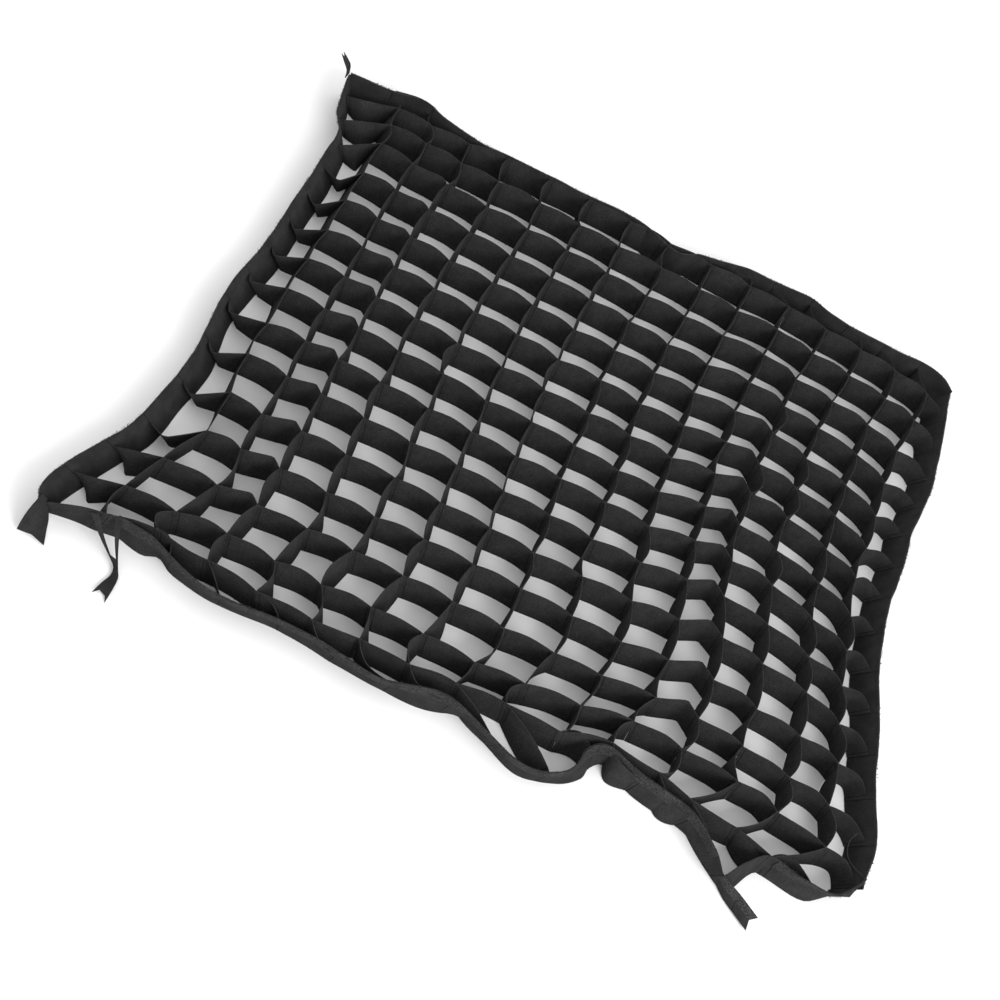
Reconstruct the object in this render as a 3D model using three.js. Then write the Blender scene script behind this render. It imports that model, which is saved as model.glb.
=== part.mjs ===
// Honeycomb (egg-crate) grid for a square softbox: black fabric strips on edge, slotted
// into each other so that they make square cells, inside a border band that carries
// hook tape along its top edge. Millimetres, +Z up, origin at the centre of the resting face.

import * as THREE from 'three';

// ---- driving dimensions -------------------------------------------------------------
const CELLS = 16;                // cells along each side
const PITCH = 50;                // cell size, centre line to centre line
const HEIGHT = 35;               // depth of every strip, standing on edge
const CLOTH = 0.6;               // thickness of the strip fabric
const RACK_LIMIT = THREE.MathUtils.degToRad(70);  // how far the cells skew as the grid folds

const HALF = CELLS * PITCH / 2;  // the middle of the grid to the outermost cell line

// Lying loose, the outer row of cells at the front and at the back is drawn in: the
// band there lies close to the first crosswise strip, with the cloth between them slack.
const DRAWN_IN = 28;
const HALF_WIDTH = HALF;             // to the centre line of the left and right bands
const HALF_DEPTH = HALF - DRAWN_IN;  // to the centre line of the front and back bands

// A strip of thickness t crosses another at up to RACK_LIMIT from square, so the slot
// that takes it is this wide, with a little ease on each side.
const SLOT_EASE = 0.5;
const SLOT_WIDTH = CLOTH * (1 + Math.sin(RACK_LIMIT)) / Math.cos(RACK_LIMIT) + SLOT_EASE;
const SLOT_LAP = 0.4;            // each slot runs this far past half height

// A strip's end stops this far from the centre line of the band it meets, so that it
// can swing to RACK_LIMIT without touching the band.
const END_EASE = 0.15;
const END_GAP = (CLOTH / 2 * (1 + Math.sin(RACK_LIMIT)) + END_EASE) / Math.cos(RACK_LIMIT);

const TAPE_WIDTH = 12;           // hook tape along the band's top edge
const TAPE_THICKNESS = 1.4;
const SEAM_GAP = 0.3;            // air between layers that are sewn flat on each other
const TAPE_DROP = 0.5;           // the tape's top edge lies this far under the band's

// ---- materials ----------------------------------------------------------------------
function cloth(name, color, roughness) {
  const material = new THREE.MeshStandardMaterial({ color, roughness, metalness: 0 });
  material.name = name;
  return material;
}

const GRID_CLOTH = cloth('grid_fabric', 0x1c1c1e, 0.95);
const BAND_CLOTH = cloth('band_fabric', 0x2c2c2f, 0.9);
const HOOK_TAPE = cloth('hook_tape', 0x3a3a3d, 0.85);

const part = new THREE.Group();
part.name = 'honeycomb_grid';

function addMesh(name, geometry, material, parent = part) {
  const mesh = new THREE.Mesh(geometry, material);
  mesh.name = name;
  parent.add(mesh);
  return mesh;
}

// ---- slotted grid strips ------------------------------------------------------------
// Outline of one strip seen from its side: u along the strip, v up. Slots are cut at
// every inner crossing, from the bottom edge or from the top edge to half height.
function stripOutline(halfLength, slotsFromTop) {
  const end = halfLength - END_GAP;
  const slotEnd = slotsFromTop ? HEIGHT / 2 - SLOT_LAP : HEIGHT / 2 + SLOT_LAP;
  const slottedEdge = slotsFromTop ? HEIGHT : 0;
  const plainEdge = HEIGHT - slottedEdge;
  const outline = new THREE.Shape();
  outline.moveTo(-end, slottedEdge);
  for (let crossing = 1; crossing < CELLS; crossing += 1) {
    const u = crossing * PITCH - HALF;
    outline.lineTo(u - SLOT_WIDTH / 2, slottedEdge);
    outline.lineTo(u - SLOT_WIDTH / 2, slotEnd);
    outline.lineTo(u + SLOT_WIDTH / 2, slotEnd);
    outline.lineTo(u + SLOT_WIDTH / 2, slottedEdge);
  }
  outline.lineTo(end, slottedEdge);
  outline.lineTo(end, plainEdge);
  outline.lineTo(-end, plainEdge);
  outline.closePath();
  return outline;
}

// The outline extruded to the fabric's thickness, standing on edge along X.
function slottedStrip(halfLength, slotsFromTop) {
  const geometry = new THREE.ExtrudeGeometry(stripOutline(halfLength, slotsFromTop), {
    depth: CLOTH,
    bevelEnabled: false,
  });
  geometry.translate(0, 0, -CLOTH / 2);
  geometry.rotateX(Math.PI / 2);
  return geometry;
}

function twoDigits(number) {
  return String(number).padStart(2, '0');
}

// Crosswise strips run along X and hang over the lengthwise ones: slots in the bottom.
function addCrosswiseStrips() {
  for (let row = 1; row < CELLS; row += 1) {
    const geometry = slottedStrip(HALF_WIDTH, false);
    const strip = addMesh(`crosswise_strip_${twoDigits(row)}`, geometry, GRID_CLOTH);
    strip.position.y = row * PITCH - HALF;
  }
}

// Lengthwise strips run along Y, with their slots in the top.
function addLengthwiseStrips() {
  for (let column = 1; column < CELLS; column += 1) {
    const geometry = slottedStrip(HALF_DEPTH, true);
    const strip = addMesh(`lengthwise_strip_${twoDigits(column)}`, geometry, GRID_CLOTH);
    strip.rotation.z = Math.PI / 2;
    strip.position.x = column * PITCH - HALF;
  }
}

// ---- border band and its hook tape --------------------------------------------------
// One side of the border: the band on the side's centre line, and the tape sewn on its
// outer face. The group is turned so that its -Y side faces outwards.
function addBorderSide(name, turn, halfLength, fromMiddle) {
  const side = new THREE.Group();
  side.rotation.z = turn;
  const length = 2 * (halfLength - END_GAP);

  const band = new THREE.BoxGeometry(length, CLOTH, HEIGHT);
  band.translate(0, -fromMiddle, HEIGHT / 2);
  addMesh(`${name}_border_band`, band, BAND_CLOTH, side);

  const tape = new THREE.BoxGeometry(length, TAPE_THICKNESS, TAPE_WIDTH);
  const tapeY = -fromMiddle - CLOTH / 2 - SEAM_GAP - TAPE_THICKNESS / 2;
  tape.translate(0, tapeY, HEIGHT - TAPE_DROP - TAPE_WIDTH / 2);
  addMesh(`${name}_hook_tape`, tape, HOOK_TAPE, side);
  part.add(side);
}

// ---- loose ends at the corners ------------------------------------------------------
// Each is a flat tail of band fabric that hangs free from the corner where it is sewn.
// root is where it starts, heading is its direction in plan (degrees from +X).
const TAIL_CLOTH = 0.8;
const TAILS = [
  { name: 'front_left_tail', root: [-412, -350], heading: -100, length: 34, width: 30 },
  { name: 'front_left_forked_tail', root: [-352, -377], heading: -68, length: 30, width: 18 },
  { name: 'front_right_tail', root: [262, -377], heading: -32, length: 56, width: 30 },
  { name: 'back_left_tail', root: [-402, 377], heading: 125, length: 36, width: 24 },
  { name: 'back_left_folded_flap', root: [-290, 378], heading: 172, length: 56, width: 30 },
];

function addTail({ name, root, heading, length, width }) {
  const geometry = new THREE.BoxGeometry(length, TAIL_CLOTH, width);
  geometry.translate(length / 2, 0, width / 2);
  const tail = addMesh(name, geometry, BAND_CLOTH);
  tail.position.set(root[0], root[1], 0);
  tail.rotation.z = THREE.MathUtils.degToRad(heading);
}

// ---- assembly -----------------------------------------------------------------------
addCrosswiseStrips();
addLengthwiseStrips();
addBorderSide('front', 0, HALF_WIDTH, HALF_DEPTH);
addBorderSide('right', Math.PI / 2, HALF_DEPTH, HALF_WIDTH);
addBorderSide('back', Math.PI, HALF_WIDTH, HALF_DEPTH);
addBorderSide('left', -Math.PI / 2, HALF_DEPTH, HALF_WIDTH);
TAILS.forEach(addTail);

export default part;
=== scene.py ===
import functools
import math
import bpy
import numpy as np
from mathutils import Matrix, Vector


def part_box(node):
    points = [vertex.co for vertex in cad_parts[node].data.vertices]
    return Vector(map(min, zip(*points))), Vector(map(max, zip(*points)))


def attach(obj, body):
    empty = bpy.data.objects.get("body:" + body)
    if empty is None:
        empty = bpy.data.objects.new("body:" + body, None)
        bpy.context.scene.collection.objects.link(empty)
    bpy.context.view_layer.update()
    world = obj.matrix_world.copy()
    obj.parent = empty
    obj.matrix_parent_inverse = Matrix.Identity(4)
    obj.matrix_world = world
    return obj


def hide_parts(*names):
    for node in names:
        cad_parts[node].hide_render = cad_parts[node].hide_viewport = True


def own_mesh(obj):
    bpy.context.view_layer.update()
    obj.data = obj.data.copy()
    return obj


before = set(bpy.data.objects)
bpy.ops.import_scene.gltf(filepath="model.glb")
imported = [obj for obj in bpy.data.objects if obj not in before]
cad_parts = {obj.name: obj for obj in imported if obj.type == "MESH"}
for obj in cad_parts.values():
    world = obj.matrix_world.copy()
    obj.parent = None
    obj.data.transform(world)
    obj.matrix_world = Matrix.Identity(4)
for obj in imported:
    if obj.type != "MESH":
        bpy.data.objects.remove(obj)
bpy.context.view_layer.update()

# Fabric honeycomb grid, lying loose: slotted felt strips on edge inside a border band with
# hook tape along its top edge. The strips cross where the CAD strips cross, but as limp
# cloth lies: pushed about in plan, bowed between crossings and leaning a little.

MM = 0.001
rng = np.random.default_rng(16)

# ---- sizes, from the frame ------------------------------------------------------------
STRIPS = sum(name.startswith("crosswise_strip_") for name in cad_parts)
CELLS = STRIPS + 1
LOW_1, HIGH_1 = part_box("lengthwise_strip_01")
LOW_2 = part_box("lengthwise_strip_02")[0]
HEIGHT = HIGH_1[2] - LOW_1[2]
PITCH = LOW_2[0] - LOW_1[0]
HALF = CELLS * PITCH / 2
CLOTH = 0.7 * MM                 # how thick the felt looks
BAND_CLOTH = 0.9 * MM
TAPE_CLOTH = 1.3 * MM
TAPE_WIDTH = 12 * MM
TAIL_CLOTH = 0.8 * MM
CLOTH_EASE = 1.012               # cloth length in a cell over the pitch: it never lies tight
RACK_LIMIT = math.radians(70)    # how far the cells skew
FOLDED_CLOSER = math.cos(RACK_LIMIT)   # and how much closer together the strips lie then

# ---- how the cloth lies ---------------------------------------------------------------
# The border in plan, front left corner round to the back and to the front right corner: the
# turns of its top and bottom edge in millimetres, to the nearest 5.
FRONT_TOP = [(-355, -340), (-320, -345), (-280, -360), (-250, -365), (-200, -360), (-150, -360),
             (-90, -365), (-30, -350), (20, -365), (50, -375), (75, -375), (95, -365), (105, -350),
             (110, -330), (125, -320), (165, -330), (220, -340), (250, -365), (265, -385),
             (270, -380), (285, -360), (305, -345), (340, -350), (375, -350), (395, -330),
             (400, -320)]
FRONT_BOTTOM = [(-350, -340), (-325, -345), (-310, -340), (-290, -350), (-250, -355), (-190, -350),
                (-120, -355), (-45, -355), (-10, -345), (10, -350), (60, -370), (100, -360),
                (120, -345), (125, -330), (140, -320), (170, -335), (230, -345), (255, -365),
                (275, -380), (285, -380), (300, -355), (315, -345), (370, -340), (405, -325)]
FRONT_TAPED = [(1, 12.7), (14.2, CELLS)]   # the tape has come away with the front right tail
LEFT_TOP = [(-420, -360), (-425, -345), (-420, -315), (-405, -280), (-390, -240), (-385, -215),
            (-380, -170), (-380, -125), (-385, -70), (-385, -20), (-380, 50), (-380, 180),
            (-380, 230), (-395, 260), (-405, 320)]
LEFT_BOTTOM = [(-415, -350), (-400, -310), (-385, -270), (-370, -230), (-365, -185), (-360, -130),
               (-370, -70), (-365, -20), (-360, 50), (-360, 180), (-365, 230), (-380, 260),
               (-395, 325)]
# The crosswise strips of LEFT_ROWS meet the left band at LEFT_MEETS, both counted in cells;
# the strips between them meet it in between.
LEFT_ROWS = [1, 4, 7, 12, 15, 16]
LEFT_MEETS = [1, 4, 7.8, 12.8, 15.4, 16]
RIGHT_TOP = [(400, -330), (405, -280), (395, -230), (385, -150), (375, -100), (370, -10),
             (375, 30), (380, 80), (380, 110), (390, 160), (395, 205), (395, 345)]
RIGHT_LEAN = (-15, 3)            # from the top edge to the bottom edge, in millimetres
BACK_TOP = [(-405, 320), (-350, 330), (-315, 340), (-285, 330), (-240, 325), (-170, 330),
            (-100, 335), (-40, 340), (20, 325), (50, 340), (80, 350), (115, 360), (160, 365),
            (195, 370), (230, 360), (290, 360), (350, 365), (380, 360), (395, 345)]
BACK_LEAN = (0, -3)

# Pushes that the loose cloth has taken from the square lattice, in millimetres: where,
# how far the push reaches each way, and how far the cloth went.
PUSHES = [
    (0, 80, 700, 420, 0, -15),        # the whole middle has crept forwards
    (-60, 80, 330, 300, 0, -6),
    (-400, 0, 60, 300, 18, 0),        # the left edge lies drawn in
    (-300, 40, 30, 260, 10, 0),
    (-200, 60, 150, 190, -5, 0),
    (-330, -200, 160, 110, 0, -10),
    (-350, -190, 60, 80, 8, 0),
    (80, -200, 130, 90, 7, 0),
    (150, 40, 35, 300, 4, 9),         # a ridge runs from front to back here
    (215, -80, 45, 220, 0, 13),
    (245, 10, 80, 190, -10, 0),
    (280, -200, 170, 110, 13, 0),
    (265, 200, 90, 190, 0, -8),
    (380, 60, 60, 300, 0, -26),       # the right edge is drawn in and forwards
    (440, 150, 120, 250, 0, -30),
    (400, 60, 60, 260, -26, 0),
    (50, 270, 420, 80, 10, 0),        # the back slants to the right
    (250, 350, 300, 70, 24, 0),
    (-100, -320, 300, 50, -18, 0),    # and the front to the left
    (-375, 270, 110, 70, 0, 10),
    (165, -370, 85, 75, 0, 46),       # the front is pushed in here
    (-330, 400, 130, 110, 0, -40),    # the back rows are pushed together
    (0, 400, 600, 60, 0, -12),
]
# The first crosswise strip has slid up to the front band: the tops of its crossings, from
# the first column on, to the nearest 5; and the tops of a few crossings pulled along with it.
FIRST_ROW = [(-365, -345), (-320, -335), (-270, -340), (-220, -345), (-165, -345), (-120, -340),
             (-70, -340), (-25, -335), (25, -330), (80, -330), (130, -315), (180, -320),
             (215, -330), (265, -335), (305, -345)]
PULLED = {(1, 2): (-365, -310), (1, 3): (-350, -265), (2, 2): (-315, -310), (13, 2): (255, -290),
          (14, 2): (300, -300), (15, 2): (355, -310)}
# Columns of cells whose crosswise walls are creased: how far out, and where along the wall.
CREASED = {2: (8 * MM, 0.76), 11: (13 * MM, 0.68)}
CREASE_SHARP = 0.85
RIGHT_FROM = 10                  # right of this column the walls bulge near their right ends
# How far the strips' tops lean to the right, and how far a lengthwise wall twists open
# between two crossings, in millimetres: at these columns, from the left.
LEAN_COLUMNS = [1, 2, 4, 8, 15]
LEAN_RIGHT = [7, -3, -5, -6, -6]
TWISTS = [2.5, 4, 5, 6.5, 6]
LEAN_BACK = 1.5
LEAN_BACK_LEFT = 3.5             # how much further right the tops lean in the back left part
BOTTOM_GIVES = 0.6               # the share of it by which the bottoms go left instead
JITTER = 0.9                     # how irregularly the crossings stand and lean
END_LEVEL = 0.74                 # the strips are sewn in this far up the border band
LEAST_RISE = 0.6                 # a border band that leans far still rises this share of HEIGHT


def metres(points):
    return np.array(points, float) * MM


def smooth_path(points, steps=12):
    """A Catmull-Rom curve through the points, finely stepped."""
    padded = np.vstack([2 * points[0] - points[1], points, 2 * points[-1] - points[-2]])
    parts = []
    for i in range(1, len(padded) - 2):
        p0, p1, p2, p3 = padded[i - 1 : i + 3]
        t = np.linspace(0, 1, steps, endpoint=False)[:, None]
        linear = (p2 - p0) * t
        square = (2 * p0 - 5 * p1 + 4 * p2 - p3) * t ** 2
        cubic = (3 * p1 - p0 - 3 * p2 + p3) * t ** 3
        parts.append(0.5 * (2 * p1 + linear + square + cubic))
    return np.vstack(parts + [points[-1:]])


def along(path, shares):
    """Points at these shares of the path's length."""
    steps = np.linalg.norm(np.diff(path, axis=0), axis=1)
    distance = np.concatenate([[0], np.cumsum(steps)])
    wanted = np.asarray(shares) * distance[-1]
    return np.stack([np.interp(wanted, distance, path[:, k]) for k in range(path.shape[1])], axis=1)


class Border:
    """One side of the border: its bottom and top edge in plan, and the crossings it spans."""

    def __init__(self, top, bottom, first_cell=0, taped=None, rows=(0, 1), meets=(0, 1)):
        self.top = smooth_path(metres(top))
        self.bottom = smooth_path(metres(bottom))
        self.first = first_cell
        self.taped = taped or [(first_cell, CELLS)]
        self.rows, self.meets = rows, meets

    def edges(self, cells):
        """Bottom and top points, in space, at these places counted in cells."""
        cells = np.asarray(cells, float)
        if len(self.rows) > 2:
            cells = np.interp(cells, self.rows, self.meets)
        shares = np.clip((cells - self.first) / (CELLS - self.first), 0, 1)
        low, high = along(self.bottom, shares), along(self.top, shares)
        lean = np.linalg.norm(high - low, axis=1)
        rise = np.sqrt(np.maximum(HEIGHT ** 2 - lean ** 2, (LEAST_RISE * HEIGHT) ** 2))
        bottom = np.column_stack([low, np.zeros(len(low))])
        return bottom, np.column_stack([high, rise])


def leaning(top, lean):
    return [(x + lean[0], y + lean[1]) for x, y in top]


BORDERS = {
    "front": Border(FRONT_TOP, FRONT_BOTTOM, first_cell=1, taped=FRONT_TAPED),
    "back": Border(BACK_TOP, leaning(BACK_TOP, BACK_LEAN)),
    "left": Border(LEFT_TOP, LEFT_BOTTOM, first_cell=1, rows=LEFT_ROWS, meets=LEFT_MEETS),
    "right": Border(RIGHT_TOP, leaning(RIGHT_TOP, RIGHT_LEAN), first_cell=2),
}


def pushed(column, row):
    """Where the crossing of a lengthwise and a crosswise strip stands, in plan."""
    home = np.array([column * PITCH - HALF, row * PITCH - HALF])
    place = home.copy()
    for x, y, reach_x, reach_y, dx, dy in PUSHES:
        away = ((home[0] / MM - x) / reach_x) ** 2 + ((home[1] / MM - y) / reach_y) ** 2
        place += math.exp(-away) * np.array([dx, dy]) * MM
    return place


def extra_lean(column, row):
    """How much further right a top leans: nothing at the front, most at the back left."""
    return np.interp(row, [5, 10], [0, LEAN_BACK_LEFT]) * np.interp(column, [7, 11], [1, 0.2]) * MM


def make_crossings():
    """Bottom and top of every crossing, the border's among them, as two grids of points."""
    bottom = np.zeros((CELLS + 1, CELLS + 1, 3))
    top = np.zeros_like(bottom)
    jitter = rng.normal(0, JITTER * MM, (CELLS + 1, CELLS + 1, 4))
    for column in range(1, CELLS):
        for row in range(1, CELLS):
            x, y = pushed(column, row) + jitter[column, row, :2]
            lean_x = np.interp(column, LEAN_COLUMNS, LEAN_RIGHT) * MM + jitter[column, row, 2]
            more = extra_lean(column, row)
            x, lean_x = x - more * BOTTOM_GIVES, lean_x + more
            lean_y = LEAN_BACK * MM + jitter[column, row, 3]
            if row == 1 or (column, row) in PULLED:
                x, y = metres(PULLED.get((column, row), FIRST_ROW[column - 1]))
                x, y = x - lean_x, y - lean_y
            lift = math.sqrt(HEIGHT ** 2 - lean_x ** 2 - lean_y ** 2)
            bottom[column, row] = (x, y, 0)
            top[column, row] = (x + lean_x, y + lean_y, lift)
    places = np.arange(CELLS + 1)
    for side, grid_index in (("front", (slice(None), 0)), ("back", (slice(None), CELLS)),
                             ("left", (0, slice(None))), ("right", (CELLS, slice(None)))):
        bottom[grid_index], top[grid_index] = BORDERS[side].edges(places)
        top[grid_index] = bottom[grid_index] * (1 - END_LEVEL) + top[grid_index] * END_LEVEL
    return bottom, top


BOTTOM, TOP = make_crossings()

# ---- cloth meshes ---------------------------------------------------------------------
LEAST_BOW = 1.2 * MM
SHARP_OVER = math.radians(50)    # edges sharper than this aren't shaded smooth
SLOT_SHARE = 0.006               # half a slot, as a share of a cell
SEAM_SHARE = 0.066               # the seam lines stand this far from each crossing
WALL_STEPS = np.array([SLOT_SHARE, 0.045, SEAM_SHARE, 0.09, 0.17, 0.26, 0.35, 0.44, 0.53, 0.62,
                       0.70, 0.78, 0.86, 0.91, 1 - SEAM_SHARE, 0.955, 1 - SLOT_SHARE])
LEVELS = np.array([0, 0.06, 0.2, 0.35, 0.5, 0.65, 0.8, 0.94, 1.0])
SLOT_LEVEL = 4                   # the index of half height in LEVELS


def bow_shape(s, peak, sharp):
    """0 at both crossings and 1 at peak: a round bow, or a creased one."""
    round_bow = np.sin(np.pi * s ** (math.log(0.5) / math.log(peak))) ** 0.9
    creased = np.minimum(s / peak, (1 - s) / (1 - peak))
    return (1 - sharp) * round_bow + sharp * creased


def bowed_wall(low, high, out, peak, sharp, twist):
    """One wall between two crossings, as a grid of points: steps along it by levels up it.
    low and high are the wall's two ends at the bottom and at the top; out is the bow to the
    wall's left, and twist how much further the top goes than the bottom."""
    s = WALL_STEPS[:, None]
    bottom = low[0] + (low[1] - low[0]) * s
    top = high[0] + (high[1] - high[0]) * s
    run = low[1] - low[0]
    side = np.array([-run[1], run[0], 0]) / max(np.linalg.norm(run[:2]), 1e-6)
    bow = bow_shape(WALL_STEPS, peak, sharp)[:, None] * side
    bottom = bottom + bow * (out - twist / 2)
    top = top + bow * (out + twist / 2)
    level = LEVELS[None, :, None]
    return bottom[:, None, :] * (1 - level) + top[:, None, :] * level


def slack_bow(low):
    """How far a wall bows, from its cloth's length and the distance between its ends: a bow
    of height h on a chord c takes 8 h^2 / 3 c more cloth than the chord."""
    chord = np.linalg.norm(low[1][:2] - low[0][:2])
    spare = PITCH * CLOTH_EASE - chord
    return math.sqrt(max(0.375 * chord * spare, LEAST_BOW ** 2))


def sheet_mesh(name, points, thickness, missing, uv):
    """A closed thin sheet over a grid of points. missing marks the cells that are cut out."""
    along_u = np.gradient(points, axis=0)
    along_v = np.gradient(points, axis=1)
    normal = np.cross(along_u, along_v)
    normal /= np.maximum(np.linalg.norm(normal, axis=2, keepdims=True), 1e-12)
    rows, levels = points.shape[:2]
    front = (points + normal * thickness / 2).reshape(-1, 3)
    back = (points - normal * thickness / 2).reshape(-1, 3)
    count = rows * levels
    index = np.arange(count).reshape(rows, levels)
    faces = []
    for i in range(rows - 1):
        for j in range(levels - 1):
            if missing[i, j]:
                continue
            a, b, c, d = index[i, j], index[i + 1, j], index[i + 1, j + 1], index[i, j + 1]
            faces.append((a, b, c, d))
            faces.append((a + count, d + count, c + count, b + count))
            for p, q, ni, nj in ((a, b, i, j - 1), (b, c, i + 1, j), (c, d, i, j + 1),
                                 (d, a, i - 1, j)):
                inside = 0 <= ni < rows - 1 and 0 <= nj < levels - 1
                if not inside or missing[ni, nj]:
                    faces.append((q, p, p + count, q + count))
    return solid(name, np.vstack([front, back]), faces, np.vstack([uv, uv]))


def solid(name, points, faces, uv=None):
    """A mesh object from points and faces, smooth but for its edges."""
    mesh = bpy.data.meshes.new(name)
    mesh.from_pydata([tuple(p) for p in points], [], [tuple(map(int, f)) for f in faces])
    if uv is not None:
        layer = mesh.uv_layers.new(name="UVMap")
        corners = np.zeros(len(mesh.loops), dtype=np.int32)
        mesh.loops.foreach_get("vertex_index", corners)
        layer.data.foreach_set("uv", uv[corners].astype(np.float32).ravel())
    mesh.shade_smooth()
    mesh.set_sharp_from_angle(angle=SHARP_OVER)
    made = bpy.data.objects.new(name, mesh)
    bpy.context.collection.objects.link(made)
    return made


def grid_uv(cells, levels):
    """UV of a grid of points: x counts cells along the strip, y goes up it from 0 to 1."""
    u, v = np.meshgrid(cells, levels, indexing="ij")
    return np.column_stack([u.ravel(), v.ravel()])


def strip(name, low, high, bows, slots_from_top):
    """A slotted strip through its crossings: low and high are their bottoms and tops."""
    walls = []
    for i, (out, peak, sharp, twist) in enumerate(bows):
        walls.append(bowed_wall(low[i : i + 2], high[i : i + 2], out, peak, sharp, twist))
    points = np.concatenate(walls)
    points[..., 2] += ripple(points)
    steps = len(WALL_STEPS)
    missing = np.zeros((len(points) - 1, len(LEVELS) - 1), bool)
    cut = slice(SLOT_LEVEL, None) if slots_from_top else slice(0, SLOT_LEVEL)
    for i in range(1, len(bows)):
        missing[i * steps - 1, cut] = True
    cells = np.concatenate([WALL_STEPS + i for i in range(len(bows))])
    return sheet_mesh(name, points, CLOTH, missing, grid_uv(cells, LEVELS))


def ripple(points):
    """The strips' edges aren't dead straight: a small rise and fall that grows upwards."""
    x, y = points[..., 0], points[..., 1]
    wave = np.sin(x * 61 + y * 23) + 0.6 * np.sin(x * 137 - y * 91 + 1.3)
    return 0.35 * MM * wave * points[..., 2] / HEIGHT


def crosswise_bow(column, row, slack):
    """The bow of one wall of a crosswise strip: how far out, where its peak is, how sharply
    it is creased, and its twist."""
    most = np.interp(column, [1, 8, 14], [3.2 * MM, 4 * MM, 6.5 * MM])
    if column > RIGHT_FROM:
        most *= np.interp(row, [6, 10], [1, 0.65])
    out = min(max(slack, 3 * MM), most) * rng.uniform(0.8, 1.2)
    peak, sharp = rng.uniform(0.50, 0.62), 0.15
    twist = rng.uniform(0, 2.5) * MM if row < 9 else rng.uniform(1.5, 4.5) * MM
    if row == 1:
        out = -16 * MM if column == CELLS - 1 else rng.uniform(-2, 3) * MM
    elif column == 0:
        straight = row < 4 or row > 12
        out, twist = (-7 * MM, 14 * MM) if straight else (-13 * MM, -8 * MM)
        out *= rng.uniform(0.85, 1.15)
        peak, sharp = rng.uniform(0.30, 0.42), CREASE_SHARP
    elif column == CELLS - 1:
        out = min(slack, 12 * MM) * rng.uniform(0.7, 0.9)
    elif column in CREASED and 3 <= row <= CELLS - 3:
        out, peak = CREASED[column]
        fade = np.interp(row, [9, 12], [1, 0.5])
        out, sharp = out * fade, CREASE_SHARP * fade
    elif column > RIGHT_FROM:
        peak = rng.uniform(0.60, 0.68)
    return out, peak, sharp, twist


def lengthwise_bow(column, row, slack):
    """The same for one wall of a lengthwise strip."""
    out = rng.uniform(-1.5, 1.5) * MM
    if slack > 6 * MM:
        out = min(slack, 10 * MM) * rng.uniform(-1, 1)
    size = np.interp(column, LEAN_COLUMNS, TWISTS) * MM
    size *= np.interp(row, [8, 12], [1, 0.8])
    twist = size * rng.uniform(0.8, 1.2) * (-1 if column >= CELLS / 2 else 1)
    return out, rng.uniform(0.42, 0.58), 0.1, twist


def crosswise_bows(row):
    low = BOTTOM[:, row]
    return [crosswise_bow(column, row, slack_bow(low[column : column + 2]))
            for column in range(CELLS)]


def lengthwise_bows(column):
    low = BOTTOM[column]
    return [lengthwise_bow(column, row, slack_bow(low[row : row + 2])) for row in range(CELLS)]


# ---- materials ------------------------------------------------------------------------
class Shader:
    """A node material being put together: nodes and links in short calls."""

    def __init__(self, name):
        self.material = bpy.data.materials.new(name)
        self.material.use_nodes = True
        self.tree = self.material.node_tree
        self.bsdf = self.tree.nodes["Principled BSDF"]
        self.place = self.node("ShaderNodeTexCoord").outputs["Object"]
        self.uv = self.node("ShaderNodeTexCoord").outputs["UV"]

    def node(self, kind, **settings):
        made = self.tree.nodes.new(kind)
        for key, value in settings.items():
            setattr(made, key, value)
        return made

    def link(self, source, target):
        self.tree.links.new(source, target)

    def noise(self, scale, detail=3.0, stretch=None):
        texture = self.node("ShaderNodeTexNoise")
        texture.inputs["Scale"].default_value = scale
        texture.inputs["Detail"].default_value = detail
        source = self.place
        if stretch:
            mapping = self.node("ShaderNodeMapping")
            mapping.inputs["Scale"].default_value = stretch
            self.link(self.place, mapping.inputs["Vector"])
            source = mapping.outputs["Vector"]
        self.link(source, texture.inputs["Vector"])
        return texture.outputs["Fac"]

    def math(self, operation, *inputs):
        made = self.node("ShaderNodeMath", operation=operation)
        for i, value in enumerate(inputs):
            if isinstance(value, (int, float)):
                made.inputs[i].default_value = value
            else:
                self.link(value, made.inputs[i])
        return made.outputs[0]

    def ramp(self, value, stops):
        made = self.node("ShaderNodeValToRGB")
        elements = made.color_ramp.elements
        while len(elements) < len(stops):
            elements.new(0.5)
        for element, (position, colour) in zip(elements, stops):
            element.position = position
            element.color = (*colour, 1)
        self.link(value, made.inputs["Fac"])
        return made.outputs["Color"]

    def darken(self, colour, mask, share):
        """colour, taken down to share of itself where mask is 1."""
        made = self.node("ShaderNodeMix", data_type="RGBA", blend_type="MULTIPLY")
        made.inputs["B"].default_value = (share, share, share, 1)
        self.link(mask, made.inputs["Factor"])
        self.link(colour, made.inputs["A"])
        return made.outputs["Result"]

    def bump(self, height, distance, strength):
        made = self.node("ShaderNodeBump")
        made.inputs["Distance"].default_value = distance
        made.inputs["Strength"].default_value = strength
        self.link(height, made.inputs["Height"])
        self.link(made.outputs["Normal"], self.bsdf.inputs["Normal"])

    def finish(self, colour, roughness, sheen):
        self.link(colour, self.bsdf.inputs["Base Color"])
        self.link(roughness, self.bsdf.inputs["Roughness"])
        self.bsdf.inputs["Sheen Weight"].default_value = sheen
        self.bsdf.inputs["Sheen Roughness"].default_value = 0.45
        self.bsdf.inputs["Specular IOR Level"].default_value = 0.0
        return self.material


def grey(value):
    return (value, value, value * 1.02)


def seam_lines(shader, share, width):
    """1 on the lines that stand at share of a cell on both sides of each crossing."""
    separate = shader.node("ShaderNodeSeparateXYZ")
    shader.link(shader.uv, separate.inputs["Vector"])
    inside = shader.math("FRACT", separate.outputs["X"])
    from_crossing = shader.math("PINGPONG", inside, 0.5)
    off = shader.math("ABSOLUTE", shader.math("SUBTRACT", from_crossing, share))
    line = shader.math("SUBTRACT", 1.0, shader.math("DIVIDE", off, width))
    return shader.math("MAXIMUM", line, 0.0), separate


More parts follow.
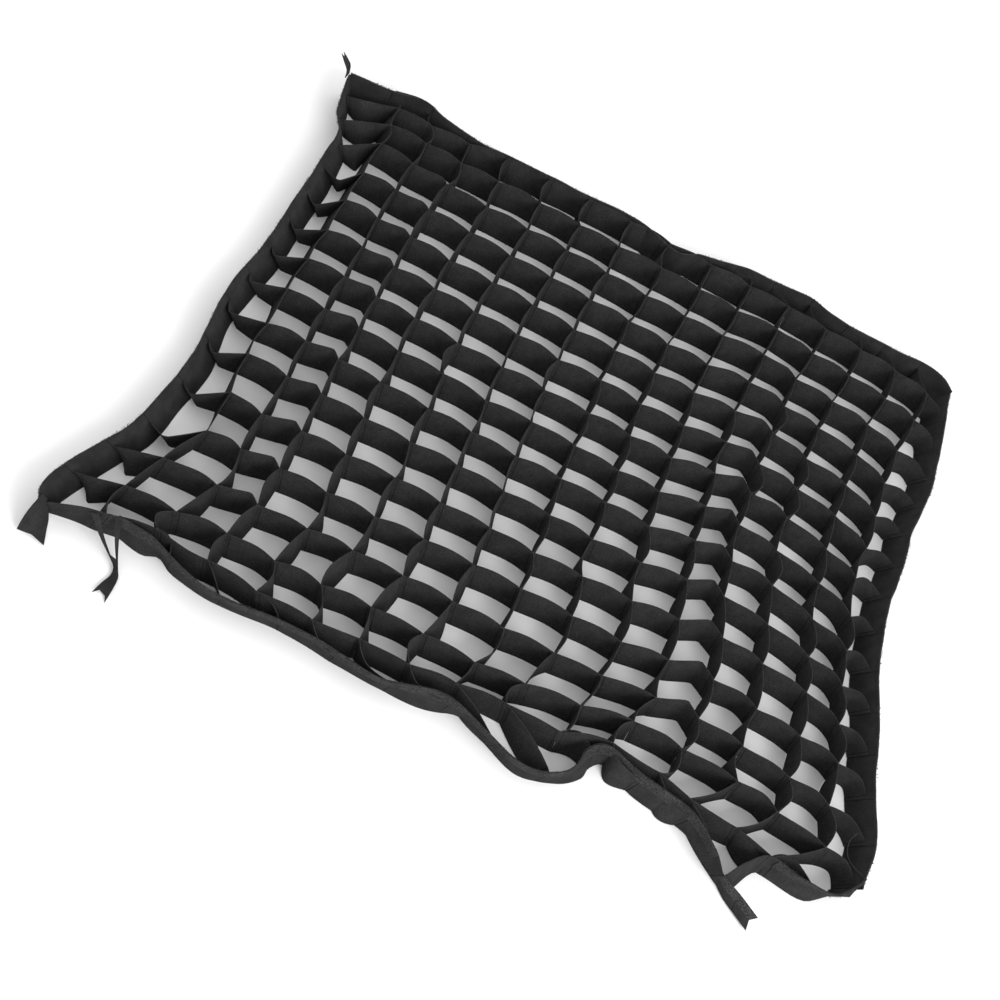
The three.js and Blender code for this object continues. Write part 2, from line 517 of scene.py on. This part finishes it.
def felt_material():
    """Black needle felt: matted fibres, faint mottling, a fused seam each side of a crossing."""
    shader = Shader("grid_felt")
    mottle = shader.noise(95, 4.0)
    fibres = shader.noise(1500, 2.0, (1, 1, 0.35))
    grain = shader.noise(4200, 2.0)
    clumps = shader.noise(850, 2.0)
    mix = shader.math("MULTIPLY_ADD", fibres, 0.4, shader.math("MULTIPLY", mottle, 0.2))
    mix = shader.math("MULTIPLY_ADD", clumps, 0.4, mix)
    colour = shader.ramp(mix, [(0.32, grey(0.0125)), (0.5, grey(0.024)), (0.68, grey(0.0425))])
    seams, _ = seam_lines(shader, SEAM_SHARE, 0.012)
    colour = shader.darken(colour, seams, 0.45)
    roughness = shader.math("MULTIPLY_ADD", mottle, 0.16, 0.80)
    height = shader.math("MULTIPLY_ADD", fibres, 0.8, shader.math("MULTIPLY", grain, 0.4))
    height = shader.math("MULTIPLY_ADD", seams, -1.4, height)
    shader.bump(height, 0.35 * MM, 0.75)
    return shader.finish(colour, roughness, 0.01)


def woven(shader, separate, across, up):
    """Height of a plain weave, from the UVs: threads per cell and threads per strip height."""
    warp = shader.math("MULTIPLY", separate.outputs["X"], across * math.pi)
    weft = shader.math("MULTIPLY", separate.outputs["Y"], up * math.pi)
    warp, weft = shader.math("SINE", warp), shader.math("SINE", weft)
    return shader.math("MULTIPLY_ADD", shader.math("MULTIPLY", warp, weft), 0.5, 0.5)


def band_material():
    """The border's heavier cloth: a fine weave, napped, with a seam line at every cell."""
    shader = Shader("band_cloth")
    mottle = shader.noise(70, 4.0)
    nap = shader.noise(1300, 3.0)
    seams, separate = seam_lines(shader, 0.0, 0.014)
    weave = woven(shader, separate, 62, 44)
    mix = shader.math("MULTIPLY_ADD", nap, 0.45, shader.math("MULTIPLY", mottle, 0.3))
    mix = shader.math("MULTIPLY_ADD", weave, 0.25, mix)
    colour = shader.ramp(mix, [(0.30, grey(0.010)), (0.5, grey(0.021)), (0.68, grey(0.040))])
    colour = shader.darken(colour, seams, 0.4)
    roughness = shader.math("MULTIPLY_ADD", mottle, 0.15, 0.75)
    height = shader.math("MULTIPLY_ADD", weave, 0.9, shader.math("MULTIPLY", nap, 0.6))
    height = shader.math("MULTIPLY_ADD", seams, -1.5, height)
    shader.bump(height, 0.4 * MM, 0.8)
    return shader.finish(colour, roughness, 0.02)


def tape_material():
    """Hook tape: a rough pile of fine loops over a darker ground."""
    shader = Shader("hook_tape_pile")
    loops = shader.node("ShaderNodeTexVoronoi")
    loops.inputs["Scale"].default_value = 900
    shader.link(shader.place, loops.inputs["Vector"])
    pile = shader.math("SUBTRACT", 1.0, loops.outputs["Distance"])
    fuzz = shader.noise(1900, 3.0)
    patch = shader.noise(60, 3.0)
    mix = shader.math("MULTIPLY_ADD", pile, 0.35, shader.math("MULTIPLY", fuzz, 0.45))
    mix = shader.math("MULTIPLY_ADD", patch, 0.2, mix)
    colour = shader.ramp(mix, [(0.36, grey(0.010)), (0.52, grey(0.030)), (0.68, grey(0.075))])
    roughness = shader.math("MULTIPLY_ADD", fuzz, 0.2, 0.7)
    shader.bump(shader.math("MULTIPLY_ADD", pile, 1.0, fuzz), 0.6 * MM, 0.9)
    return shader.finish(colour, roughness, 0.03)


def fibre_material():
    shader = Shader("hook_fibres")
    colour = shader.ramp(shader.noise(700, 2.0), [(0.35, grey(0.018)), (0.65, grey(0.060))])
    return shader.finish(colour, shader.math("MULTIPLY_ADD", shader.noise(300), 0.2, 0.5), 0.02)


def thread_material():
    shader = Shader("sewing_thread")
    twist = shader.noise(2600, 2.0, (1, 1, 0.2))
    colour = shader.ramp(twist, [(0.35, grey(0.020)), (0.65, grey(0.055))])
    shader.bump(twist, 0.1 * MM, 0.6)
    return shader.finish(colour, shader.math("MULTIPLY_ADD", twist, 0.2, 0.45), 0.02)


FELT = felt_material()
BAND = band_material()
TAPE = tape_material()
FIBRES = fibre_material()
THREAD = thread_material()


# ---- joining the pieces to the frame --------------------------------------------------
def place(piece, material, body, slot):
    piece.data.materials.append(material)
    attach(piece, body)
    return piece


def squash_row(piece, y):
    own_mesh(piece)


def squash_column(piece, x):
    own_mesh(piece)


def middle(node, axis):
    low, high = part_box(node)
    return (low[axis] + high[axis]) / 2


def pulled_in(points, share=0.018):
    """The crossings of a strip, its two ends drawn back so that it stops at the border."""
    points = points.copy()
    first, last = points[1] - points[0], points[-2] - points[-1]
    points[0] += first * share
    points[-1] += last * share
    return points


def add_crosswise(number):
    node = f"crosswise_strip_{number:02d}"
    low, high = pulled_in(BOTTOM[:, number]), pulled_in(TOP[:, number])
    cloth = strip(f"crosswise_cloth_{number:02d}", low, high, crosswise_bows(number), False)
    place(cloth, FELT, f"crosswise_{number:02d}", "grid_fabric")
    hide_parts(node)
    squash_row(cloth, middle(node, 1))


def add_lengthwise(number):
    node = f"lengthwise_strip_{number:02d}"
    low, high = pulled_in(BOTTOM[number]), pulled_in(TOP[number])
    cloth = strip(f"lengthwise_cloth_{number:02d}", low, high, lengthwise_bows(number), True)
    place(cloth, FELT, f"lengthwise_{number:02d}", "grid_fabric")
    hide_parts(node)
    squash_column(cloth, middle(node, 0))


# ---- border: band, hook tape, stitching and fibres ------------------------------------
OUTWARD = {"front": (0, -1), "back": (0, 1), "left": (-1, 0), "right": (1, 0)}
BAND_STEPS = np.array([0, 0.03, 0.08, 0.16, 0.25, 0.34, 0.43, 0.52, 0.61, 0.70, 0.79, 0.88,
                       0.95])
STITCH = 3.2 * MM
STITCH_GAP = 1.2 * MM
THREAD_RADIUS = 0.28 * MM
FIBRE_RADIUS = 0.26 * MM
FIBRES_PER_CELL = 110
# A thread end hangs loose inside the front right corner: points in millimetres.
LOOSE_THREAD = {"right": [(384, -279, 33), (379, -290, 30), (381, -303, 28), (389, -312, 29),
                          (399, -318, 32)]}


def band_cells(border):
    cells = [BAND_STEPS + i for i in range(border.first, CELLS)]
    return np.concatenate(cells + [[CELLS]])


def band_grid(border, cells, levels):
    """The band's middle surface, with a slow ripple in and out between its seams."""
    bottom, top = border.edges(cells)
    level = np.asarray(levels)[None, :, None]
    points = bottom[:, None, :] * (1 - level) + top[:, None, :] * level
    swell = np.sin(np.pi * (cells % 1)) * np.sin(cells * 2.3) * 0.8 * MM
    points[..., :2] += side_of(points)[..., :2] * swell[:, None, None]
    points[..., 2] += 0.5 * MM * np.sin(cells * 5.1)[:, None] * np.asarray(levels)[None, :]
    return points


def side_of(points):
    run = np.gradient(points, axis=0)
    side = np.stack([run[..., 1], -run[..., 0], np.zeros(run.shape[:2])], axis=2)
    return side / np.maximum(np.linalg.norm(side, axis=2, keepdims=True), 1e-9)


def outward(points, side_name):
    """Unit vectors square to a band's face, on its outer side."""
    side = side_of(points)
    x, y = OUTWARD[side_name]
    facing = np.mean(side[..., 0]) * x + np.mean(side[..., 1]) * y
    return side if facing > 0 else -side


def add_band(side_name, squashed):
    border = BORDERS[side_name]
    cells = band_cells(border)
    points = band_grid(border, cells, LEVELS)
    missing = np.zeros((len(points) - 1, len(LEVELS) - 1), bool)
    band = sheet_mesh(f"{side_name}_band_cloth", points, BAND_CLOTH, missing,
                      grid_uv(cells, LEVELS))
    place(band, BAND, f"{side_name}_border", "band_fabric")
    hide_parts(f"{side_name}_border_band")
    squashed(band)


def tape_grid(side_name, cells, levels, off):
    """Points on the outer face of the band, off its middle surface; levels go up the band."""
    points = band_grid(BORDERS[side_name], cells, levels)
    return points + outward(points, side_name) * off


def taped_cells(border):
    """Stations along the tape: one array for each of its lengths."""
    cells = band_cells(border)
    lengths = []
    for start, end in border.taped:
        inside = cells[(cells > start) & (cells < end)]
        lengths.append(np.concatenate([[start], inside, [end]]))
    return lengths


def on_tape(border, cells):
    """Those of the cells that the tape covers."""
    covered = np.zeros(len(cells), bool)
    for start, end in border.taped:
        covered |= (cells > start + 0.02) & (cells < end - 0.08)
    return cells[covered]


def add_tape(side_name, squashed):
    border = BORDERS[side_name]
    levels = np.linspace(1 - TAPE_WIDTH / HEIGHT, 1.0, 6)
    off = BAND_CLOTH / 2 + TAPE_CLOTH / 2
    lengths = taped_cells(border)
    points = np.concatenate([tape_grid(side_name, cells, levels, off) for cells in lengths])
    missing = np.zeros((len(points) - 1, len(levels) - 1), bool)
    missing[np.cumsum([len(cells) for cells in lengths])[:-1] - 1] = True
    tape = sheet_mesh(f"{side_name}_tape_pile", points, TAPE_CLOTH, missing,
                      grid_uv(np.concatenate(lengths), levels))
    place(tape, TAPE, f"{side_name}_border", "hook_tape")
    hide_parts(f"{side_name}_hook_tape")
    hairs = add_fibres(side_name, off + TAPE_CLOTH / 2, squashed)
    thread = add_stitching(side_name, squashed)
    squashed(tape)


def spikes(name, roots, tips, radius):
    """Thin three-sided fibres from roots to tips, bent a little half way."""
    run = tips - roots
    run_length = np.linalg.norm(run, axis=1, keepdims=True)
    run = run / np.maximum(run_length, 1e-9)
    across = np.cross(run, np.array([0.3, 0.2, 0.9]))
    across /= np.maximum(np.linalg.norm(across, axis=1, keepdims=True), 1e-9)
    third = np.cross(run, across)
    bend = (roots + tips) / 2 + across * run_length * 0.18
    points = []
    for centre, width in ((roots, radius), (bend, radius * 0.8)):
        for turn in range(3):
            angle = turn * math.tau / 3
            points.append(centre + (across * math.cos(angle) + third * math.sin(angle)) * width)
    points.append(tips)
    points = np.stack(points, axis=1)
    faces = []
    for i in range(len(roots)):
        k = 7 * i
        faces.append((k + 2, k + 1, k))
        for turn in range(3):
            a, b = k + turn, k + (turn + 1) % 3
            faces.append((a, b, b + 3, a + 3))
            faces.append((a + 3, b + 3, k + 6))
    return solid(name, points.reshape(-1, 3), faces)


def add_fibres(side_name, off, squashed):
    """The pile that stands up along the tape's top edge and out of its face."""
    border = BORDERS[side_name]
    cells = rng.uniform(border.first, CELLS, int((CELLS - border.first) * FIBRES_PER_CELL))
    cells = np.sort(on_tape(border, cells))
    count = len(cells)
    low = 1 - TAPE_WIDTH / HEIGHT
    heights = np.where(rng.random(count) < 0.6, 1.0, rng.uniform(low + 0.02, 1.0, count))
    bottom, top = border.edges(cells)
    roots = bottom * (1 - heights[:, None]) + top * heights[:, None]
    out = outward(band_grid(border, cells, [0, 1]), side_name)[:, 1]
    on_edge = heights == 1.0
    depth = np.where(on_edge, rng.uniform(-0.2, 1.0, count), 1.0) * off
    roots = roots + out * depth[:, None] - np.array([0, 0, 0.3 * MM])
    rise = np.where(on_edge, 1.0, 0.25)[:, None] * np.array([0, 0, 1.0])
    lean = out * np.where(on_edge, 0.35, 1.0)[:, None] + rng.normal(0, 0.45, (count, 3))
    reach = rng.uniform(0.8, 2.4, count)[:, None] * MM
    heading = rise + lean
    heading /= np.linalg.norm(heading, axis=1, keepdims=True)
    hairs = spikes(f"{side_name}_tape_fibres", roots, roots + heading * reach,
                  FIBRE_RADIUS)
    place(hairs, FIBRES, f"{side_name}_border", "hook_tape")
    squashed(hairs)
    return hairs


def rods(name, starts, ends, out, radius):
    """Short six-sided stitches lying on a face, their two ends dipping into it."""
    run = ends - starts
    run = run / np.linalg.norm(run, axis=1, keepdims=True)
    up = np.cross(run, out)
    rings = []
    for share, lift in ((0.0, -0.6), (0.2, 0.5), (0.8, 0.5), (1.0, -0.6)):
        centre = starts + (ends - starts) * share + out * lift * radius
        for turn in range(6):
            angle = turn * math.tau / 6
            rings.append(centre + (out * math.cos(angle) + up * math.sin(angle)) * radius)
    points = np.stack(rings, axis=1)
    faces = []
    for i in range(len(starts)):
        k = 24 * i
        faces.append(tuple(k + turn for turn in range(5, -1, -1)))
        faces.append(tuple(k + 18 + turn for turn in range(6)))
        for ring in range(3):
            for turn in range(6):
                a = k + 6 * ring + turn
                b = k + 6 * ring + (turn + 1) % 6
                faces.append((a, b, b + 6, a + 6))
    return solid(name, points.reshape(-1, 3), faces)


def add_stitching(side_name, squashed):
    """The row of stitches along the lower edge of the tape."""
    border = BORDERS[side_name]
    starts = on_tape(border, np.arange(border.first, CELLS, (STITCH + STITCH_GAP) / PITCH))
    level = [1 - (TAPE_WIDTH - 1.2 * MM) / HEIGHT]
    off = BAND_CLOTH / 2 + TAPE_CLOTH
    begin = tape_grid(side_name, starts, level, off)[:, 0]
    end = tape_grid(side_name, starts + STITCH / PITCH, level, off)[:, 0]
    out = outward(tape_grid(side_name, starts, level, off), side_name)[:, 0]
    if side_name in LOOSE_THREAD:
        loose = smooth_path(metres(LOOSE_THREAD[side_name]))
        begin, end = np.vstack([begin, loose[:-1]]), np.vstack([end, loose[1:]])
        out = np.vstack([out, np.tile([0, 0, 1.0], (len(loose) - 1, 1))])
    thread = rods(f"{side_name}_tape_stitching", begin, end, out, THREAD_RADIUS)
    place(thread, THREAD, f"{side_name}_border", "hook_tape")
    squashed(thread)
    return thread


def add_border(side_name):
    """A side's band and tape. For the left and right band a line lying closer to their CAD band is
    worked out, but nothing folds, straightens or moves towards it."""
    border = BORDERS[side_name]
    node = f"{side_name}_border_band"
    if side_name in ("front", "back"):
        squashed = functools.partial(squash_row, y=middle(node, 1))
    else:
        line = middle(node, 0)
        lies_at = np.mean(np.vstack([border.top, border.bottom])[:, 0])
        squashed = functools.partial(squash_column, x=line + (lies_at - line) * FOLDED_CLOSER)
    add_band(side_name, squashed)
    add_tape(side_name, squashed)


# ---- loose tails at the corners -------------------------------------------------------
# Each tail lies between two edges, given as points in millimetres from root to tip.
def add_tail(name, edge_a, edge_b, flat, notch=0.0, taped=0.0, material=BAND, slit=0.0):
    """A tail between its two edges. notch is how deep its end is cut, as a share of its
    length; taped the share of its width, from edge_a, that hook tape covers; and slit how
    far from its root it is parted into two strands."""
    rows, columns = 25, 9
    shares = np.linspace(0, 1, rows)
    one = along(smooth_path(metres(edge_a)), shares)[:, None, :]
    two = along(smooth_path(metres(edge_b)), shares)[:, None, :]
    width = np.linspace(0, 1, columns)
    if slit:
        width = np.array([0, 0.07, 0.14, 0.2, 0.26, 0.78, 0.85, 0.93, 1.0])
    full = one * (1 - width[None, :, None]) + two * width[None, :, None]
    reach = 1 - notch * (1 - np.abs(2 * width - 1))
    cut = [along(full[:, j], shares * reach[j]) for j in range(columns)]
    missing = np.zeros((rows - 1, columns - 1), bool)
    missing[shares[:-1] < slit, 4] = True
    uv = grid_uv(0.2 + shares * flat[1] / PITCH, width)
    tail = sheet_mesh(f"{name}_cloth", np.stack(cut, axis=1), TAIL_CLOTH, missing, uv)
    place(tail, material, name, "band_fabric")
    if taped:
        tail.data.materials.append(TAPE)
        layer = tail.data.uv_layers["UVMap"].data
        for face in tail.data.polygons:
            across = np.mean([layer[i].uv[1] for i in face.loop_indices])
            face.material_index = 1 if across < taped else 0
    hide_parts(name)
    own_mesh(tail)


def add_tails():
    """Edges are points in millimetres, from the root to the tip."""
    add_tail("front_left_tail",
             [(-420, -357, 35), (-423, -372, 28), (-426, -378, 12), (-427, -380, 3)],
             [(-416, -353, 26), (-410, -356, 4), (-405, -369, 2), (-400, -382, 2)],
             flat=(0.026, 0.034), notch=0.06)
    add_tail("front_left_forked_tail",
             [(-377, -350, 33), (-362, -359, 20), (-346, -366, 7), (-340, -370, 4),
              (-338, -378, 2), (-341, -388, 2), (-344, -402, 3)],
             [(-352, -341, 33), (-345, -355, 18), (-338, -366, 6), (-335, -371, 4),
              (-331, -378, 2), (-330, -390, 2), (-330, -405, 1)],
             flat=(0.010, 0.066), notch=0.16, slit=0.5)
    add_tail("front_right_tail",
             [(256, -370, 32), (264, -379, 28), (277, -381, 20), (294, -383, 12),
              (318, -392, 5)],
             [(262, -366, 1), (272, -377, 1), (283, -389, 1), (310, -408, 3)],
             flat=(0.027, 0.060), notch=0.07, taped=0.45)
    add_tail("back_left_tail",
             [(-407, 321, 34), (-411, 333, 35), (-418, 342, 34), (-426, 350, 33)],
             [(-410, 324, 22), (-413, 335, 24), (-421, 344, 26), (-428, 352, 28)],
             flat=(0.010, 0.035), notch=0.2, material=TAPE)
    add_tail("back_left_folded_flap",
             [(-306, 339, 36), (-325, 340, 36), (-352, 332, 35)],
             [(-302, 334, 8), (-322, 336, 10), (-349, 328, 12)],
             flat=(0.026, 0.047), notch=0.05)


# ---- stage ----------------------------------------------------------------------------
FLOOR_SIZE = 30.0
FLOOR_DROP = 0.8 * MM            # the floor lies this far under the cloth
SKY_STRENGTH = 1.3
FOCAL_LENGTH = 54.62             # in millimetres, on a sensor of SENSOR_WIDTH
SENSOR_WIDTH = 36
CAMERA_AIM = Vector((-0.0498, -0.0990, 0))
CAMERA_DISTANCE = 1.5264
CAMERA_AZIMUTH = math.radians(9.08)
CAMERA_ELEVATION = math.radians(50.96)
CAMERA_ROLL = math.radians(35.0)


def add_floor():
    shader = Shader("pale_floor")
    shades = [(0.3, (0.71, 0.71, 0.71)), (0.7, (0.74, 0.74, 0.74))]
    colour = shader.ramp(shader.noise(6, 3.0), shades)
    material = shader.finish(colour, shader.math("MULTIPLY_ADD", shader.noise(40), 0.1, 0.6), 0.0)
    half = FLOOR_SIZE / 2
    corners = [(-half, -half), (half, -half), (half, half), (-half, half)]
    floor = solid("floor", [(x, y, -FLOOR_DROP) for x, y in corners], [(0, 1, 2, 3)])
    floor.data.materials.append(material)


def add_light(name, location, aim, size, power):
    light = bpy.data.lights.new(name, "AREA")
    light.size = size
    light.energy = power
    lamp = bpy.data.objects.new(name, light)
    lamp.location = location
    lamp.rotation_mode = "QUATERNION"
    lamp.rotation_quaternion = (Vector(aim) - Vector(location)).to_track_quat("-Z", "Y")
    bpy.context.collection.objects.link(lamp)


def add_lights():
    world = bpy.data.worlds.new("studio")
    world.use_nodes = True
    background = world.node_tree.nodes["Background"]
    background.inputs["Color"].default_value = (1, 1, 1, 1)
    background.inputs["Strength"].default_value = SKY_STRENGTH
    bpy.context.scene.world = world
    add_light("key_softbox", (1.5, -1.8, 1.6), (0, 0, 0), 1.4, 70)
    add_light("overhead_softbox", (-0.5, -0.3, 2.6), (0, 0, 0), 2.4, 5)


def add_camera():
    """The camera, from where it aims, how far and high it stands, and how it is tilted."""
    level_right = Vector((math.cos(CAMERA_AZIMUTH), -math.sin(CAMERA_AZIMUTH), 0))
    forward = Vector((math.sin(CAMERA_AZIMUTH) * math.cos(CAMERA_ELEVATION),
                      math.cos(CAMERA_AZIMUTH) * math.cos(CAMERA_ELEVATION),
                      -math.sin(CAMERA_ELEVATION)))
    level_up = level_right.cross(forward)
    right = level_right * math.cos(CAMERA_ROLL) + level_up * math.sin(CAMERA_ROLL)
    up = right.cross(forward)
    turn = Matrix((right, up, -forward)).transposed()
    data = bpy.data.cameras.new("camera")
    data.lens = FOCAL_LENGTH
    data.sensor_width = SENSOR_WIDTH
    camera = bpy.data.objects.new("camera", data)
    camera.matrix_world = Matrix.LocRotScale(CAMERA_AIM - forward * CAMERA_DISTANCE, turn, None)
    bpy.context.collection.objects.link(camera)
    bpy.context.scene.camera = camera


def main():
    add_camera()
    add_floor()
    add_lights()
    bpy.context.scene.view_settings.view_transform = "Standard"
    for number in range(1, STRIPS + 1):
        add_crosswise(number)
    for number in range(1, STRIPS + 1):
        add_lengthwise(number)
    for side_name in ("front", "left", "right", "back"):
        add_border(side_name)
    add_tails()


main()
bpy.context.view_layer.update()
